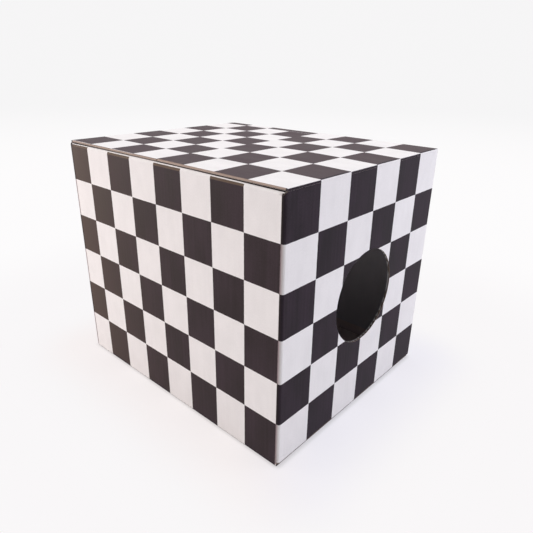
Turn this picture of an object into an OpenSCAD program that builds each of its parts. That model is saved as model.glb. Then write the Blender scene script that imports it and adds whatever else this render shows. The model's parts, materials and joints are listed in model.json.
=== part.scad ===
// Cat condo: a corrugated cardboard box with a round entrance, folded from one printed blank.
// Four walls form a sleeve, closed at one corner by a glued tab. On the top, the front and back flaps
// lie outside and meet at a seam, with the two side flaps behind them. On the bottom, the side flaps
// lie outside. Each board is built from its real plies: a printed outer liner, a fluted medium and a
// grey inner liner.
// +Z is up, the entrance wall faces -Y, and the origin is the middle of the base.

/* [Box] */
// Outside width, across the entrance wall
box_w = 336; // [300:1:420]
// Outside depth, from the entrance wall to the wall opposite
box_d = 412; // [340:1:520]
// Outside height, with the flaps lying level
box_h = 345; // [280:1:440]

/* [Board] */
// Thickness of the corrugated board
board_t = 3; // [2.2:0.1:4.5]
// Thickness of a liner sheet
liner_t = 0.25; // [0.15:0.05:0.5]
// Thickness of the fluted sheet between the liners
medium_t = 0.2; // [0.1:0.05:0.35]
// Length of one flute, from crest to crest
flute_pitch = 6.5; // [4.5:0.1:9]

/* [Entrance] */
// Diameter of the round entrance
entrance_d = 129; // [80:1:200]
// Height of the entrance's centre above the base
entrance_z = 173; // [130:0.5:200]

/* [Flaps] */
// Least gap between the free edges of two inner flaps
inner_flap_gap = 29.4; // [10:0.1:160]
// Gap at the seam where two outer flaps meet
seam_gap = 2; // [0.5:0.1:6]
// Distance from a wall's outer face to the cut side edge of an outer flap beside it
outer_flap_inset = 3; // [1:0.1:10]
// Gap between the side edge of an inner flap and the wall beside it
inner_flap_clearance = 2; // [0.5:0.1:8]
// Free height between the top outer flaps and the inner flaps below them
top_stack_gap = 1.4; // [0.3:0.1:2]
// Free height between the bottom outer flaps and the inner flaps above them
base_stack_gap = 0.6; // [0.3:0.1:2]
// Gap between a crease and the edge of the flap that turns on it
crease_gap = 0.3; // [0.2:0.05:0.8]
// Angle by which the stiff crease holds the front top flap above level
front_flap_lift = 0.2; // [0:0.1:3]

/* [Glued corner] */
// Width of the glue tab behind the right wall
glue_tab_w = 35; // [15:1:60]
// Height that the tab's root stays clear of each fold of the right wall
glue_tab_end_gap = 22; // [22:1:60]
// Height by which each end of the tab tapers towards its free edge
glue_tab_taper = 8; // [0:1:20]
// Gap from the right wall's cut edge to the back wall's outer face
corner_gap = 0.4; // [0.2:0.1:2]

/* [Hidden] */
$fn = 64;
print_white = [0.92, 0.91, 0.92];
inside_grey = [0.50, 0.49, 0.50];
kraft_brown = [0.70, 0.58, 0.45];

half_w = box_w / 2;
half_d = box_d / 2;
crease_r = board_t / 2;

// Height of the inner flaps' fold axes: above the base for the lower ones, below the top for the upper ones
base_fold_z = 2 * board_t + base_stack_gap;
top_fold_drop = 2 * board_t + top_stack_gap;

// The end walls are the front and the back, and fold in first at the base. The side walls do so at the top.
end_wall_h = box_h - base_fold_z - board_t;
side_wall_h = box_h - board_t - top_fold_drop;
corner_h = box_h - base_fold_z - top_fold_drop;

// Spans of the boards along their own wall, seen in the frame of the back wall
front_span = [board_t - half_w, half_w - board_t];
back_span = [board_t - half_w, half_w - 2 * board_t];
left_span = [board_t - half_d, half_d - board_t];
right_span = [corner_gap - half_d, half_d - board_t];
right_crease_span = left_span;
top_outer_span = [outer_flap_inset - half_w, half_w - outer_flap_inset];
top_inner_reach = half_d - board_t - inner_flap_clearance;
top_inner_span = [-top_inner_reach, top_inner_reach];
base_outer_span = [outer_flap_inset - half_d, half_d - outer_flap_inset];
base_inner_reach = half_w - 2 * board_t - inner_flap_clearance;
base_inner_span = [-base_inner_reach, base_inner_reach];

// Lengths of the flaps from their folds. The four base flaps are cut to one length if the depth allows it.
fold_room = board_t + crease_gap;
top_outer_l = half_d - fold_room - seam_gap / 2;
top_inner_l = half_w - fold_room - inner_flap_gap / 2;
base_outer_l = half_w - fold_room - seam_gap / 2;
base_inner_l = min(base_outer_l, half_d - fold_room - inner_flap_gap / 2);

// Heights of the glue tab's root
glue_tab_low_z = base_fold_z + glue_tab_end_gap;
glue_tab_root_h = corner_h - 2 * glue_tab_end_gap;

// The flute's centre line is a cosine with its crests pressed flat where they are glued
wave_height = (board_t - 2 * liner_t - medium_t) / 2;
crest_press = 1.2;
flute_stations = [30, 60, 120, 150, 210, 240, 300, 330];

// Length by which a cutting tool runs past the board on each side
cut_margin = 1;

// Height of the flute's centre line at an angle along its wave, from -1 to 1
function wave(angle) = max(-1, min(1, crest_press * cos(angle)));

// Points of the flute's centre line across a board, with a whole number of flutes
function flute_line(width, count) = [
    for (turn = concat(
        [0],
        [for (i = [0 : count - 1]) for (angle = flute_stations) i + angle / 360],
        [count]
    ))
    [turn * width / count, wave_height * wave(360 * turn)]
];

// Outline of the fluted sheet: along one side of its centre line, then back along the other side.
// At both cut edges the knife turns the sheet across the board, so that it closes the edge.
function flute_outline(line) = let (
    last = len(line) - 1,
    width = line[last][0],
    reach = wave_height + medium_t / 2,
    under_crest = reach - medium_t
) concat(
    [for (point = line) point + [0, medium_t / 2]],
    [[width, -reach], [width - medium_t, -reach], [width - medium_t, under_crest]],
    [for (i = [last - 1 : -1 : 1]) line[i] - [0, medium_t / 2]],
    [[medium_t, under_crest], [medium_t, -reach], [0, -reach]]
);

function span_width(span) = span[1] - span[0];

// One board lies flat here: its span along X, its flutes along Y, its outer face at Z 0

module outer_ply(span, length) {
    translate([span[0], 0, 0])
        cube([span_width(span), length, liner_t]);
}

module inner_ply(span, length) {
    translate([span[0], 0, board_t - liner_t])
        cube([span_width(span), length, liner_t]);
}

module fluted_ply(span, length) {
    width = span_width(span);
    line = flute_line(width, round(width / flute_pitch));
    translate([span[0], length, board_t / 2])
        rotate([90, 0, 0])
            linear_extrude(length)
                polygon(flute_outline(line));
}

// Each side of the box has a frame of its own: X along the wall, its outer face at Y 0, inside at -Y

module on_back() {
    translate([0, half_d, 0])
        children();
}

module on_front() {
    rotate([0, 0, 180])
        translate([0, half_d, 0])
            children();
}

module on_left() {
    rotate([0, 0, 90])
        translate([0, half_w, 0])
            children();
}

module on_right() {
    rotate([0, 0, -90])
        translate([0, half_w, 0])
            children();
}

// Poses that stand a flat board up as a wall, or lay it as a flap, in the frame of its side

module as_end_wall() {
    translate([0, 0, base_fold_z])
        rotate([90, 0, 0])
            children();
}

module as_side_wall() {
    translate([0, 0, board_t])
        rotate([90, 0, 0])
            children();
}

module as_top_outer_flap(lift = 0) {
    translate([0, -crease_r, box_h - crease_r])
        rotate([-lift, 0, 0])
            translate([0, -crease_r - crease_gap, crease_r])
                rotate([180, 0, 0])
                    children();
}

module as_top_inner_flap() {
    translate([0, -board_t - crease_gap, box_h - board_t - top_stack_gap])
        rotate([180, 0, 0])
            children();
}

module as_bottom_outer_flap() {
    translate([0, -board_t - crease_gap, 0])
        rotate([0, 0, 180])
            children();
}

module as_bottom_inner_flap() {
    translate([0, -board_t - crease_gap, board_t + base_stack_gap])
        rotate([0, 0, 180])
            children();
}

// Folds: an outer crease is a rounded bead on the wall's edge, an inner crease a quarter round

module outer_crease(span) {
    length = span_width(span);
    translate([span[0], -crease_r, 0])
        rotate([0, 90, 0])
            cylinder(r = crease_r, h = length);
    translate([span[0], -board_t, -crease_r])
        cube([length, board_t, crease_r]);
}

module inner_crease(span) {
    translate([span[0], -board_t, 0])
        rotate([90, 0, 90])
            rotate_extrude(angle = 90)
                square([board_t, span_width(span)]);
}

module at_top(drop) {
    translate([0, 0, box_h - drop])
        children();
}

module at_bottom(rise) {
    translate([0, 0, rise])
        mirror([0, 0, 1])
            children();
}

// Quarter-round upright fold about the inner corner of two walls
module corner_fold(x, y, turn, low_z, height) {
    translate([x, y, low_z])
        rotate([0, 0, turn])
            rotate_extrude(angle = 90)
                square([board_t, height]);
}

module cut_entrance() {
    difference() {
        children();
        translate([0, cut_margin, entrance_z])
            rotate([90, 0, 0])
                cylinder(d = entrance_d, h = board_t + 2 * cut_margin);
    }
}

// Front wall, with the entrance cut through all its plies

module front_wall_outer_liner() {
    color(print_white) on_front() cut_entrance() as_end_wall() outer_ply(front_span, end_wall_h);
}

module front_wall_fluting() {
    color(kraft_brown) on_front() cut_entrance() as_end_wall() fluted_ply(front_span, end_wall_h);
}

module front_wall_inner_liner() {
    color(inside_grey) on_front() cut_entrance() as_end_wall() inner_ply(front_span, end_wall_h);
}

// Back wall

module back_wall_outer_liner() {
    color(print_white) on_back() as_end_wall() outer_ply(back_span, end_wall_h);
}

module back_wall_fluting() {
    color(kraft_brown) on_back() as_end_wall() fluted_ply(back_span, end_wall_h);
}

module back_wall_inner_liner() {
    color(inside_grey) on_back() as_end_wall() inner_ply(back_span, end_wall_h);
}

// Left wall

module left_wall_outer_liner() {
    color(print_white) on_left() as_side_wall() outer_ply(left_span, side_wall_h);
}

module left_wall_fluting() {
    color(kraft_brown) on_left() as_side_wall() fluted_ply(left_span, side_wall_h);
}

module left_wall_inner_liner() {
    color(inside_grey) on_left() as_side_wall() inner_ply(left_span, side_wall_h);
}

// Right wall, whose cut back edge covers the fold of the glue tab

module right_wall_outer_liner() {
    color(print_white) on_right() as_side_wall() outer_ply(right_span, side_wall_h);
}

module right_wall_fluting() {
    color(kraft_brown) on_right() as_side_wall() fluted_ply(right_span, side_wall_h);
}

module right_wall_inner_liner() {
    color(inside_grey) on_right() as_side_wall() inner_ply(right_span, side_wall_h);
}

// Upright corner folds and the glue tab

module front_left_corner_fold() {
    color(print_white) corner_fold(board_t - half_w, board_t - half_d, 180, base_fold_z, corner_h);
}

module front_right_corner_fold() {
    color(print_white) corner_fold(half_w - board_t, board_t - half_d, 270, base_fold_z, corner_h);
}

module back_left_corner_fold() {
    color(print_white) corner_fold(board_t - half_w, half_d - board_t, 90, base_fold_z, corner_h);
}

module glue_tab_fold() {
    color(kraft_brown)
        corner_fold(half_w - 2 * board_t, half_d - board_t, 0, glue_tab_low_z, glue_tab_root_h);
}

module glue_tab() {
    root_x = board_t - half_d;
    high_z = glue_tab_low_z + glue_tab_root_h;
    color(inside_grey)
        on_right()
            translate([0, -board_t, 0])
                rotate([90, 0, 0])
                    linear_extrude(board_t)
                        polygon([
                            [root_x, glue_tab_low_z],
                            [root_x + glue_tab_w, glue_tab_low_z + glue_tab_taper],
                            [root_x + glue_tab_w, high_z - glue_tab_taper],
                            [root_x, high_z]
                        ]);
}

// Creases along which the flaps turn

module front_top_crease() {
    color(print_white) on_front() at_top(crease_r) outer_crease(front_span);
}

module back_top_crease() {
    color(print_white) on_back() at_top(crease_r) outer_crease(back_span);
}

module left_top_crease() {
    color(print_white) on_left() at_top(top_fold_drop) inner_crease(left_span);
}

module right_top_crease() {
    color(print_white) on_right() at_top(top_fold_drop) inner_crease(right_crease_span);
}

module front_bottom_crease() {
    color(print_white) on_front() at_bottom(base_fold_z) inner_crease(front_span);
}

module back_bottom_crease() {
    color(print_white) on_back() at_bottom(base_fold_z) inner_crease(back_span);
}

module left_bottom_crease() {
    color(print_white) on_left() at_bottom(crease_r) outer_crease(left_span);
}

module right_bottom_crease() {
    color(print_white) on_right() at_bottom(crease_r) outer_crease(right_crease_span);
}

// Top outer flaps

module top_front_flap_outer_liner() {
    color(print_white)
        on_front() as_top_outer_flap(front_flap_lift) outer_ply(top_outer_span, top_outer_l);
}

module top_front_flap_fluting() {
    color(kraft_brown)
        on_front() as_top_outer_flap(front_flap_lift) fluted_ply(top_outer_span, top_outer_l);
}

module top_front_flap_inner_liner() {
    color(inside_grey)
        on_front() as_top_outer_flap(front_flap_lift) inner_ply(top_outer_span, top_outer_l);
}

module top_back_flap_outer_liner() {
    color(print_white) on_back() as_top_outer_flap() outer_ply(top_outer_span, top_outer_l);
}

module top_back_flap_fluting() {
    color(kraft_brown) on_back() as_top_outer_flap() fluted_ply(top_outer_span, top_outer_l);
}

module top_back_flap_inner_liner() {
    color(inside_grey) on_back() as_top_outer_flap() inner_ply(top_outer_span, top_outer_l);
}

// Top inner flaps

module top_left_flap_outer_liner() {
    color(print_white) on_left() as_top_inner_flap() outer_ply(top_inner_span, top_inner_l);
}

module top_left_flap_fluting() {
    color(kraft_brown) on_left() as_top_inner_flap() fluted_ply(top_inner_span, top_inner_l);
}

module top_left_flap_inner_liner() {
    color(inside_grey) on_left() as_top_inner_flap() inner_ply(top_inner_span, top_inner_l);
}

module top_right_flap_outer_liner() {
    color(print_white) on_right() as_top_inner_flap() outer_ply(top_inner_span, top_inner_l);
}

module top_right_flap_fluting() {
    color(kraft_brown) on_right() as_top_inner_flap() fluted_ply(top_inner_span, top_inner_l);
}

module top_right_flap_inner_liner() {
    color(inside_grey) on_right() as_top_inner_flap() inner_ply(top_inner_span, top_inner_l);
}

// Bottom outer flaps

module bottom_left_flap_outer_liner() {
    color(print_white) on_left() as_bottom_outer_flap() outer_ply(base_outer_span, base_outer_l);
}

module bottom_left_flap_fluting() {
    color(kraft_brown) on_left() as_bottom_outer_flap() fluted_ply(base_outer_span, base_outer_l);
}

module bottom_left_flap_inner_liner() {
    color(inside_grey) on_left() as_bottom_outer_flap() inner_ply(base_outer_span, base_outer_l);
}

module bottom_right_flap_outer_liner() {
    color(print_white) on_right() as_bottom_outer_flap() outer_ply(base_outer_span, base_outer_l);
}

module bottom_right_flap_fluting() {
    color(kraft_brown) on_right() as_bottom_outer_flap() fluted_ply(base_outer_span, base_outer_l);
}

module bottom_right_flap_inner_liner() {
    color(inside_grey) on_right() as_bottom_outer_flap() inner_ply(base_outer_span, base_outer_l);
}

// Bottom inner flaps

module bottom_front_flap_outer_liner() {
    color(print_white) on_front() as_bottom_inner_flap() outer_ply(base_inner_span, base_inner_l);
}

module bottom_front_flap_fluting() {
    color(kraft_brown) on_front() as_bottom_inner_flap() fluted_ply(base_inner_span, base_inner_l);
}

module bottom_front_flap_inner_liner() {
    color(inside_grey) on_front() as_bottom_inner_flap() inner_ply(base_inner_span, base_inner_l);
}

module bottom_back_flap_outer_liner() {
    color(print_white) on_back() as_bottom_inner_flap() outer_ply(base_inner_span, base_inner_l);
}

module bottom_back_flap_fluting() {
    color(kraft_brown) on_back() as_bottom_inner_flap() fluted_ply(base_inner_span, base_inner_l);
}

module bottom_back_flap_inner_liner() {
    color(inside_grey) on_back() as_bottom_inner_flap() inner_ply(base_inner_span, base_inner_l);
}

front_wall_outer_liner();
front_wall_fluting();
front_wall_inner_liner();
back_wall_outer_liner();
back_wall_fluting();
back_wall_inner_liner();
left_wall_outer_liner();
left_wall_fluting();
left_wall_inner_liner();
right_wall_outer_liner();
right_wall_fluting();
right_wall_inner_liner();
front_left_corner_fold();
front_right_corner_fold();
back_left_corner_fold();
glue_tab_fold();
glue_tab();
front_top_crease();
back_top_crease();
left_top_crease();
right_top_crease();
front_bottom_crease();
back_bottom_crease();
left_bottom_crease();
right_bottom_crease();
top_front_flap_outer_liner();
top_front_flap_fluting();
top_front_flap_inner_liner();
top_back_flap_outer_liner();
top_back_flap_fluting();
top_back_flap_inner_liner();
top_left_flap_outer_liner();
top_left_flap_fluting();
top_left_flap_inner_liner();
top_right_flap_outer_liner();
top_right_flap_fluting();
top_right_flap_inner_liner();
bottom_front_flap_outer_liner();
bottom_front_flap_fluting();
bottom_front_flap_inner_liner();
bottom_back_flap_outer_liner();
bottom_back_flap_fluting();
bottom_back_flap_inner_liner();
bottom_left_flap_outer_liner();
bottom_left_flap_fluting();
bottom_left_flap_inner_liner();
bottom_right_flap_outer_liner();
bottom_right_flap_fluting();
bottom_right_flap_inner_liner();
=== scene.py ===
"""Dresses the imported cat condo: printed liners, folds, fluting, a grey inside and a pale studio."""

import json
import math
from dataclasses import dataclass

import bmesh
import bpy
import numpy as np
from mathutils import Matrix, Vector


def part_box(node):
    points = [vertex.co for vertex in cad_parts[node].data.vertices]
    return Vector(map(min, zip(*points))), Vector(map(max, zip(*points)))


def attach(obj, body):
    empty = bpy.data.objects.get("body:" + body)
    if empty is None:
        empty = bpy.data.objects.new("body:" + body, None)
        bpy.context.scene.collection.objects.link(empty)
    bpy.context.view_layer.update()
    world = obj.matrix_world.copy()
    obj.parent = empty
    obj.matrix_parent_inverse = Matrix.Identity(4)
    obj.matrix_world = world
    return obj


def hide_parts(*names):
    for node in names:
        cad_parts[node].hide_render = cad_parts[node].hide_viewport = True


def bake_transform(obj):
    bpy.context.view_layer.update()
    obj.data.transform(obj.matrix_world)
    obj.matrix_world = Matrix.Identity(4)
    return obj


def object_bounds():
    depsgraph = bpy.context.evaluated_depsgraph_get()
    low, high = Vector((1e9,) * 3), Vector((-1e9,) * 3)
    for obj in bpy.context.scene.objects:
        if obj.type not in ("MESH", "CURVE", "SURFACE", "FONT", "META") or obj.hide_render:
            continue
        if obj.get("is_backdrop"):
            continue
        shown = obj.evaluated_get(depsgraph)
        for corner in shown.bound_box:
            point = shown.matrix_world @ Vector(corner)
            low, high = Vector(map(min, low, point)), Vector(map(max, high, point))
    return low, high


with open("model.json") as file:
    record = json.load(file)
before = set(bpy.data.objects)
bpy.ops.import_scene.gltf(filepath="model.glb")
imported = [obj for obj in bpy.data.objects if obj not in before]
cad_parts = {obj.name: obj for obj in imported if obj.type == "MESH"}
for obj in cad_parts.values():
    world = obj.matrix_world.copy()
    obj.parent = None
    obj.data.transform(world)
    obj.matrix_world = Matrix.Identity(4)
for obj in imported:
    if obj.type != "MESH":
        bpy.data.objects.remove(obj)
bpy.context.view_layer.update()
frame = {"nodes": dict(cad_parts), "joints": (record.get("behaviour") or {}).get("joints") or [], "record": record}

bl_info = {
    "name": "Cat condo",
    "version": (1, 0, 0),
    "blender": (4, 5, 0),
    "location": "3D View > Sidebar > Cat condo",
    "description": "Dresses a corrugated cat box with its checkered print, its folds and its fluting",
    "category": "Object",
}

# Directions out of the four walls and out of the two ends
WALL_OUT = {
    "front": Vector((0, -1, 0)),
    "back": Vector((0, 1, 0)),
    "left": Vector((-1, 0, 0)),
    "right": Vector((1, 0, 0)),
}
END_OUT = {"top": Vector((0, 0, 1)), "bottom": Vector((0, 0, -1))}
UP = END_OUT["top"]

# Sides whose flaps lie outside and meet at a seam, and sides whose flaps lie behind them
OUTER_FLAPS = {"top": ("front", "back"), "bottom": ("left", "right")}
INNER_FLAPS = {"top": ("left", "right"), "bottom": ("front", "back")}

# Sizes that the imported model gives
BACK_LINER_LOW, BACK_LINER_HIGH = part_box("back_wall_outer_liner")
BOX_HALF_D = BACK_LINER_HIGH.y
BOX_HALF_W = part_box("right_wall_outer_liner")[1].x
BOX_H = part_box("top_back_flap_outer_liner")[1].z
LINER = BACK_LINER_HIGH.y - BACK_LINER_LOW.y
BOARD = BACK_LINER_HIGH.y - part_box("back_wall_inner_liner")[0].y
OPENINGS = {opening["name"]: opening["box_m"] for opening in frame["record"]["physics"]["openings"]}
ENTRANCE_Z = sum(corner[2] for corner in OPENINGS["entrance_middle"]) / 2
HINGE = {joint["child"]: Vector(joint["pos_m"]) for joint in frame["joints"]}

# Whole rows of squares on a wall and on an outer flap, and whole columns on the back
ROWS = 6
FLAP_ROWS = 4
BACK_COLUMNS = 6
# Share of a square by which the print's edge stays off the next line, and by which the ink's edge wanders
EDGE = 0.004
INK_WANDER = 0.008
# Powers by which the painted shade fades along an upright fold, and by which the painted sheen on the side walls'
# ink grows towards the back
SHADE_FADE = 0.6
SHEEN_GROWTH = 3
# Values between which most of the papers' noise lies
NOISE_SPAN = (0.35, 0.65)

# Edges sharper than these stay sharp
SHEET_CREASE = math.radians(40)
FLUTE_CREASE = math.radians(50)
# Straight steps around the entrance
ROUND_STEPS = 192
# How much the crests of the wave are cut flat where they are glued to the liners
CREST_PRESS = 1.2

# Where each lamp stands, its width and its tint, and the height at which all aim
LAMPS = {
    "key": ((-1.3, 1.6, 0.6), 1.1, (1.0, 0.92, 0.85)),
    "fill": ((1.4, -1.7, 1.0), 1.2, (0.87, 0.9, 1.0)),
    "top": ((0.2, 0.1, 2.0), 1.6, (0.98, 1.0, 0.96)),
}
LAMP_AIM = 0.17
# How far the floor reaches, and how far it lies below the box
FLOOR_REACH = 20
FLOOR_DROP = 0.0002
# Distances from the box between which the floor's glow turns into the next colour
NEAR_GLOW = (0.01, 0.12)
FAR_GLOW = (0.2, 0.6)
BACKDROP_GLOW = (1.2, 5.0)
# Places on the floor, from left to front, between which its glow changes round the near corner
CORNER_GLOW = (-0.06, 0.14)
# Share of the glow right at the foot of the box, and how far from the box its shadow fades
FOOT_SHARE = 0.55
SHADOW_REACH = 0.16


def length_value(name, default, description):
    """Length in metres that a user can change."""
    return bpy.props.FloatProperty(name=name, description=description, default=default, unit="LENGTH")


def share_value(name, default, description):
    """Share from 0 to 1 that a user can change."""
    return bpy.props.FloatProperty(name=name, description=description, default=default, min=0, max=1)


def angle_value(name, degrees, description):
    """Angle that a user can change."""
    default = math.radians(degrees)
    return bpy.props.FloatProperty(name=name, description=description, default=default, subtype="ANGLE")


def power_value(name, default, description):
    """Power of a lamp that a user can change."""
    return bpy.props.FloatProperty(name=name, description=description, default=default, subtype="POWER")


def count_value(name, default, least, description):
    """Whole number that a user can change."""
    return bpy.props.IntProperty(name=name, description=description, default=default, min=least)


def colour_value(name, default, description):
    """Colour that a user can change."""
    return bpy.props.FloatVectorProperty(
        name=name, description=description, default=default, subtype="COLOR", size=3, min=0, max=1)


class CondoPrint(bpy.types.PropertyGroup):
    """Sizes and colours of the checkered print and of the papers."""

    front_cell: length_value("Front cell", 0.05596, "Width of a square on the front wall and its flaps")
    back_cell: length_value("Back cell", 0.05188, "Width of a square on the back wall and its flaps")
    side_cell: length_value("Side cell", 0.05126, "Width of a square on the side walls")
    flap_cell: length_value("Flap cell", 0.0510, "Depth of a square on the outer flaps")
    row_height: length_value("Row height", 0.05618, "Height of a row of squares on the walls")
    front_start: length_value("Front start", 0.0002, "From the left wall to the first line of the front")
    back_start: length_value("Back start", 0.0041, "From the left wall to the first line of the back")
    side_start: length_value("Side start", 0.0049, "From the front wall to the first line of the sides")
    flap_start: length_value("Flap start", 0.0020, "From a wall to the first line of its outer flaps")
    row_start: length_value("Row start", 0.0062, "From the base to the lowest line of the walls")
    row_bow: length_value("Row bow", 0.0028, "How much higher the lines are at half the height")
    ink: colour_value("Ink", (0.0248, 0.0165, 0.0240), "Colour of the printed squares")
    paper: colour_value("Paper", (0.83, 0.79, 0.81), "Colour of the bare white liner")
    kraft: colour_value("Kraft", (0.42, 0.32, 0.275), "Colour of the fluting and of cut edges")
    # Lighter ink: on the inner flaps' folds it is rubbed off and holds a painted highlight; on the side walls,
    # growing towards their far end, and on the outer flaps it is a painted sheen
    worn_and_sheen: colour_value("Worn ink", (0.112, 0.074, 0.056), "Colour of ink rubbed off a wall")
    flap_worn: colour_value("Worn flap ink", (0.118, 0.083, 0.088), "Colour of ink rubbed off a flap")
    side_sheen: share_value("Side rub", 0.12, "Share of the ink rubbed off the side walls")
    far_sheen: share_value("Far rub", 0.5, "Share of the ink rubbed off the far end of the side walls as well")
    flap_rub: share_value("Flap rub", 0.45, "Share of the ink rubbed off the outer flaps")
    # Painted shade: this colour darkens the upright folds and the strips of side wall beside them, out to the
    # reach below
    corner_shade: colour_value("Soil", (0.22, 0.15, 0.165), "Colour by which dirt on upright folds darkens them")
    corner_shade_reach: length_value("Soil reach", 0.0038, "How far the dirt reaches from a side wall's print")
    # Painted shade: the dark paper in the gap under a top outer flap, at the feet of the walls, on the upright
    # corner folds and in the lower part of the top flaps' cut edges
    shade: colour_value("Shade", (0.030, 0.020, 0.020), "Colour of the soiled paper in the gap under a flap")
    # Painted shade inside: the liner darkens from the colour above to its foot's colour near the floor, and the
    # floor below the height given here is brownish and darkened as painted shade
    inside: colour_value("Inside", (0.78, 0.74, 0.76), "Colour of the liner inside the box")
    inside_foot_shade: colour_value("Inside foot", (0.42, 0.405, 0.415), "Colour of the liner inside, at its foot")
    inside_floor: colour_value("Inside floor", (0.50, 0.415, 0.405), "Colour of the trodden floor inside")
    shadowed: length_value("Trodden", 0.020, "Height up to which the liner inside the box is trodden")


class CondoBoard(bpy.types.PropertyGroup):
    """Sizes of the corrugated board that show on its surface and at its cut edges."""

    flute_pitch: length_value("Flute pitch", 0.0065, "Length of one flute from crest to crest")
    medium: length_value("Fluted sheet", 0.0002, "Thickness of the sheet between the liners")
    ripple: length_value("Washboard", 0.00003, "Height of the flutes that show through the liner")
    bow: length_value("Bow", 0.00025, "Height by which the middle of a panel stands proud")
    front_flap_bow: length_value("Front flap bow", 0.0016, "The same height for the front top flap")
    crown: length_value("Crown", 0.0011, "Height by which an upper inner flap stands up at its fold")
    proud: length_value("Proud", 0.00002, "Height of the printed face above the solid's face")
    fold_skin: length_value("Fold skin", 0.00003, "Thickness of the printed skin on a fold")
    fold_room: length_value("Fold room", 0.00003, "Gap in which a fold's skin passes the wall")
    fold_print: share_value("Fold print", 0.55, "Share of a side wall's upper fold that is printed")
    # From this share on, the upper fold carries painted shade
    fold_shade: share_value("Fold shade", 0.97, "Share of a side wall's upper fold from which it is soiled")
    # The rest of a lower fold carries painted shade: the dark line where the box meets the floor
    foot_print: share_value("Foot print", 0.2, "Share of a wall's lower fold that is printed")
    flute_steps: count_value("Flute steps", 16, 4, "Straight steps along one wave of the fluted sheet")
    liner_steps: count_value("Liner steps", 8, 2, "Straight steps across one flute of a liner")
    liner_rows: count_value("Liner rows", 12, 1, "Rows of faces along the flutes of a liner")
    fold_steps: count_value("Fold steps", 12, 2, "Straight steps around a fold")


class CondoStudio(bpy.types.PropertyGroup):
    """Camera, lights and backdrop of the studio."""

    camera_place: bpy.props.FloatVectorProperty(
        name="Camera", description="Where the camera stands", subtype="TRANSLATION", size=3,
        default=(-0.5178, -0.49465, 0.4569))
    camera_turn: angle_value("Turn", -48.273, "Turn of the camera about the upright axis")
    camera_tilt: angle_value("Tilt", -22.887, "Angle by which the camera looks up")
    camera_roll: angle_value("Roll", 0.872, "Turn of the picture about its middle")
    lens: bpy.props.FloatProperty(
        name="Lens", description="Focal length on a sensor 36 mm wide", subtype="DISTANCE_CAMERA",
        default=33.069)
    backdrop: colour_value("Backdrop", (0.92, 0.915, 0.92), "Colour of the backdrop in the picture")
    floor: colour_value("Floor", (0.84, 0.835, 0.84), "Colour of the floor as a surface")
    # Painted light and shade in the floor's glow: darker close to the box, warm beside the left wall and cool
    # before the front wall
    floor_glow: colour_value("Floor glow", (0.947, 0.93, 0.939), "Colour of the floor around the box")
    left_glow: colour_value("Left glow", (0.955, 0.90, 0.90), "Colour of the floor beside the left wall")
    front_glow: colour_value("Front glow", (0.88, 0.861, 0.926), "Colour of the floor before the front wall")
    far_glow: colour_value("Far glow", (0.98, 0.97, 0.975), "Colour of the floor further away")
    near_share: share_value("Near share", 0.86, "Share of the glow in the floor's colour close to the box")
    contact: length_value("Contact", 0.005, "Width of the dark line where the box meets the floor")
    sky: bpy.props.FloatProperty(
        name="Sky", description="Strength of the even light from all sides", default=0.374, min=0)
    key_power: power_value("Key", 30, "Power of the warm lamp on the left")
    fill_power: power_value("Fill", 27, "Power of the cool lamp on the right")
    top_power: power_value("Top", 20, "Power of the lamp above")


@dataclass
class Board:
    """One flat board: X runs across its flutes, Y along them from a fold, Z out of its outer face.

    place is where the board lies, and level is where it would lie without the lift of a stiff fold.
    """

    name: str
    body: str
    place: Matrix
    level: Matrix
    width: float
    length: float

    def flutes(self):
        """Whole number of flutes across the board."""
        return round(self.width / settings().board.flute_pitch)


@dataclass
class Settings:
    """The three groups of values that a user can change."""

    print: CondoPrint
    board: CondoBoard
    studio: CondoStudio


def settings():
    """Values of the open scene."""
    scene = bpy.context.scene
    return Settings(scene.condo_print, scene.condo_board, scene.condo_studio)


def entrance_radius():
    """Distance from the entrance's centre to the nearest corner of the front wall's outer liner."""
    corners = frame["nodes"]["front_wall_outer_liner"].data.vertices
    return min(math.hypot(point.co.x, point.co.z - ENTRANCE_Z) for point in corners)


# Boards


def board_in_box(name, body, low, high, out, run):
    """Board whose outer liner fills a box, with its outer face towards out and its flutes along run."""
    across = run.cross(out)
    size = high - low
    length = abs(size.dot(run))
    middle = (low + high) / 2
    start = middle + out * abs(size.dot(out)) / 2 - run * length / 2
    place = Matrix.Translation(start) @ Matrix((across, run, out)).transposed().to_4x4()
    return Board(name, body, place, place, abs(size.dot(across)), length)


def wall_board(side):
    """Board of the wall on one side, which stops just short of the fold of its outer flap."""
    room = UP * settings().board.fold_room
    low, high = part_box(f"{side}_wall_outer_liner")
    if side in OUTER_FLAPS["top"]:
        high = high - room
    else:
        low = low + room
    return board_in_box(f"{side}_wall", "sleeve", low, high, WALL_OUT[side], UP)


def flap_board(end, side):
    """Board of the flap on one side of the top or the bottom."""
    name = f"{end}_{side}_flap"
    low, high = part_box(f"{name}_outer_liner")
    return board_in_box(name, name, low, high, END_OUT[end], -WALL_OUT[side])


def lifted_front_flap():
    """The top front flap: it mirrors the back flap, but its stiff fold holds it up by a small angle."""
    name = "top_front_flap"
    low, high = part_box("top_back_flap_outer_liner")
    level_low = Vector((low.x, -high.y, low.z))
    level_high = Vector((high.x, -low.y, high.z))
    board = board_in_box(name, name, level_low, level_high, END_OUT["top"], -WALL_OUT["front"])
    tilted_low, tilted_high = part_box(f"{name}_outer_liner")
    size = tilted_high - tilted_low
    lift = math.atan2(size.z - LINER, size.y)
    hinge = Matrix.Translation(HINGE[name])
    board.place = hinge @ Matrix.Rotation(lift, 4, "X") @ hinge.inverted() @ board.level
    return board


def wall_boards():
    """The four walls."""
    return [wall_board(side) for side in WALL_OUT]


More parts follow.
